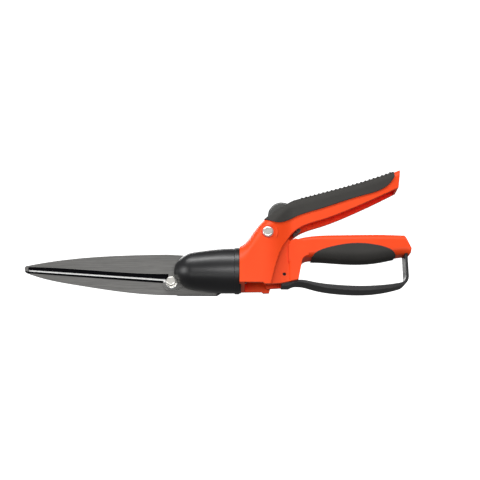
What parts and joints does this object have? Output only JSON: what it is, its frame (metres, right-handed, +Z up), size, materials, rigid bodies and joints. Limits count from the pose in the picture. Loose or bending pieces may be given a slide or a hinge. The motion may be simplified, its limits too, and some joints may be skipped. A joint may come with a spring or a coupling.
{
  "type": "grass shears",
  "caption": "Hand grass shears with long scissor blades on a turning head, squeezed by a sprung lever with finger guard; shown closed",
  "frame": {"origin": "under the middle of the whole tool's bounding box, level with its lowest point", "axes": "+X from the blade tips toward the handles, along the swivel axis; +Y across the tool, away from the head's domed side and toward its sole; +Z up, from the lever toward the upper handle"},
  "size_m": [0.35, 0.044, 0.117],
  "materials": {
    "orange_plastic": "satin injection moulded",
    "soft_grip": "matte fine-textured thermoplastic rubber",
    "dark_plastic": "satin moulded",
    "black_plastic": "semi-gloss moulded",
    "blade_steel": "ground lengthwise",
    "nickel_steel": "bright nickel plated",
    "zinc_steel": "zinc plated",
    "bush_brass": "turned"
  },
  "bodies": {
    "frame": {"main_frame": "orange_plastic", "upper_grip": "soft_grip", "pivot_rivet": "nickel_steel", "rivet_cap": "nickel_steel", "thrust_washers": "zinc_steel", "lock_pin": "zinc_steel", "detent_ball": "nickel_steel", "detent_spring": "zinc_steel"},
    "lever": {"lever": "orange_plastic", "lower_grip": "soft_grip", "yoke_pins": "zinc_steel", "lock_stud": "zinc_steel", "guard_pin": "zinc_steel", "finger_guard": "dark_plastic"},
    "lock": {"lock_catch": "dark_plastic"},
    "head": {"head_housing": "black_plastic", "sole_plate": "black_plastic", "sole_screws": "zinc_steel", "snap_ring": "zinc_steel", "rod_bush": "bush_brass", "fixed_blade": "blade_steel", "blade_bolt": "nickel_steel", "wave_washer": "zinc_steel", "blade_nut": "nickel_steel", "return_spring": "zinc_steel", "spring_washer": "zinc_steel"},
    "rod": {"draw_rod": "zinc_steel", "carriage": "dark_plastic", "drive_pin": "zinc_steel", "spring_seat": "zinc_steel"},
    "blade": {"cutting_blade": "blade_steel"}
  },
  "joints": [
    {"name": "lever_squeeze", "type": "hinge", "parent": "frame", "child": "lever", "pos_m": [0.0461, 0, 0.0521], "axis": [0, 1, 0], "range_deg": [0, 16]},
    {"name": "lock_turn", "type": "hinge", "parent": "frame", "child": "lock", "pos_m": [0.0595, 0, 0.0724], "axis": [0, 1, 0], "range_deg": [0, 25]},
    {"name": "head_swivel", "type": "hinge", "parent": "frame", "child": "head", "pos_m": [0.0208, 0, 0.0212], "axis": [1, 0, 0], "range_deg": [-90, 90]},
    {"name": "rod_slide", "type": "slide", "parent": "head", "child": "rod", "axis": [1, 0, 0], "range_m": [-0.0087, 0], "deforming": ["return_spring"]},
    {"name": "blade_cut", "type": "hinge", "parent": "head", "child": "blade", "pos_m": [-0.0407, 0.00705, 0.0117], "axis": [0, 1, 0], "range_deg": [0, 23.01]}
  ],
  "couplings": [
    {"joint": "rod_slide", "follows": "lever_squeeze", "m_per_rad": -0.031099},
    {"joint": "blade_cut", "follows": "lever_squeeze", "ratio": 1.4375}
  ]
}
